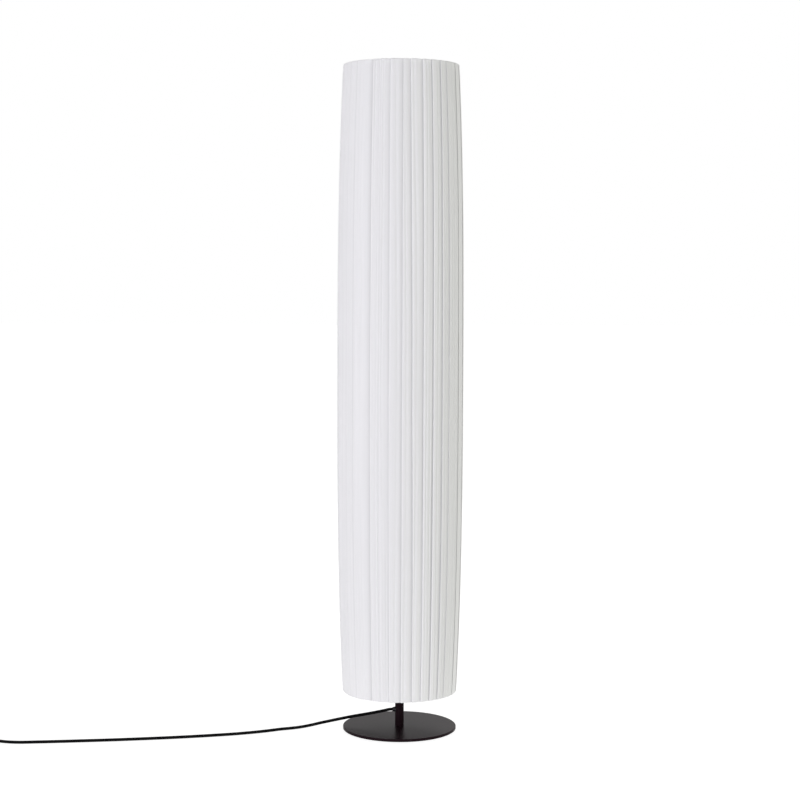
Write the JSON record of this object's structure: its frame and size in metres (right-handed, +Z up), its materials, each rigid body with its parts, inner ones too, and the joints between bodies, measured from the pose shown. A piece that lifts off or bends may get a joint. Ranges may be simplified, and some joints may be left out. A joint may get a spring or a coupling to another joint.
{
  "type": "fabric floor lamp",
  "caption": "Free-standing column lamp: a tall pleated fabric shade in a slight barrel shape on a slim steel pole and thin round base, with a foot switch on its cord.",
  "frame": {"origin": "on the floor, under the axis of the pole, at the middle of the felt's lower face", "axes": "+Z up along the pole; -Y towards the viewer of the picture; +X to the viewer's right, so that the cord leaves the pole along -X"},
  "size_m": [1.0054, 0.2499, 1.2],
  "materials": {
    "shade_cloth": "woven off-white cloth, laid in knife pleats",
    "white_wire": "white powder coat",
    "black_powder_coat": "satin black powder coat",
    "zinc_steel": "bright zinc plate",
    "nickel_plate": "nickel plate",
    "black_plastic": "fine moulded texture",
    "cream_insulator": "matt cream moulding",
    "brass": "plain brass",
    "bulb_cap_metal": "spun aluminium",
    "white_plastic": "smooth white moulding",
    "opal_globe": "opal white",
    "lead_insulation": "smooth brown insulation",
    "black_textile": "braided black textile sleeve",
    "tie_tape": "dark grey loop tape",
    "dark_felt": "dark pressed felt"
  },
  "bodies": {
    "lamp": {"shade_fabric": "shade_cloth", "top_hem": "shade_cloth", "bottom_hem": "shade_cloth", "top_spider": "white_wire", "bottom_spider": "white_wire", "lower_hoop": "white_wire", "middle_hoop": "white_wire", "upper_hoop": "white_wire", "rib_1": "white_wire", "rib_2": "white_wire", "rib_3": "white_wire", "rib_4": "white_wire", "rib_5": "white_wire", "rib_6": "white_wire", "base_plate": "black_powder_coat", "lower_pole": "black_powder_coat", "upper_pole": "black_powder_coat", "base_screw": "zinc_steel", "pole_foot_bush": "zinc_steel", "pole_coupler": "zinc_steel", "top_stud": "zinc_steel", "top_washer": "zinc_steel", "lower_bracket": "zinc_steel", "upper_bracket": "zinc_steel", "bracket_screws": "zinc_steel", "switch_spring": "zinc_steel", "switch_screws": "zinc_steel", "cap_nut": "nickel_plate", "plug_pins": "nickel_plate", "guide_bush": "black_plastic", "lower_holder_cap": "black_plastic", "upper_holder_cap": "black_plastic", "lower_holder_sleeve": "black_plastic", "upper_holder_sleeve": "black_plastic", "lead_grommets": "black_plastic", "cord_gland": "black_plastic", "switch_base": "black_plastic", "switch_cover": "black_plastic", "plug_body": "black_plastic", "lower_contact_block": "cream_insulator", "upper_contact_block": "cream_insulator", "lamp_nipples": "brass", "nipple_nuts": "brass", "lower_contacts": "brass", "upper_contacts": "brass", "lower_bulb_cap": "bulb_cap_metal", "upper_bulb_cap": "bulb_cap_metal", "lower_bulb_collar": "white_plastic", "upper_bulb_collar": "white_plastic", "lower_bulb_globe": "opal_globe", "upper_bulb_globe": "opal_globe", "lower_lead": "lead_insulation", "upper_lead": "lead_insulation", "cord": "black_textile", "cord_coil": "black_textile", "coil_tie": "tie_tape", "base_felt": "dark_felt"},
    "foot_button": {"switch_button": "black_plastic"}
  },
  "joints": [
    {"name": "foot_button_press", "type": "slide", "parent": "lamp", "child": "foot_button", "axis": [0, 0, -1], "range_m": [0, 0.003], "stiffness_N_per_m": 2000, "deforming": ["switch_spring"]}
  ]
}
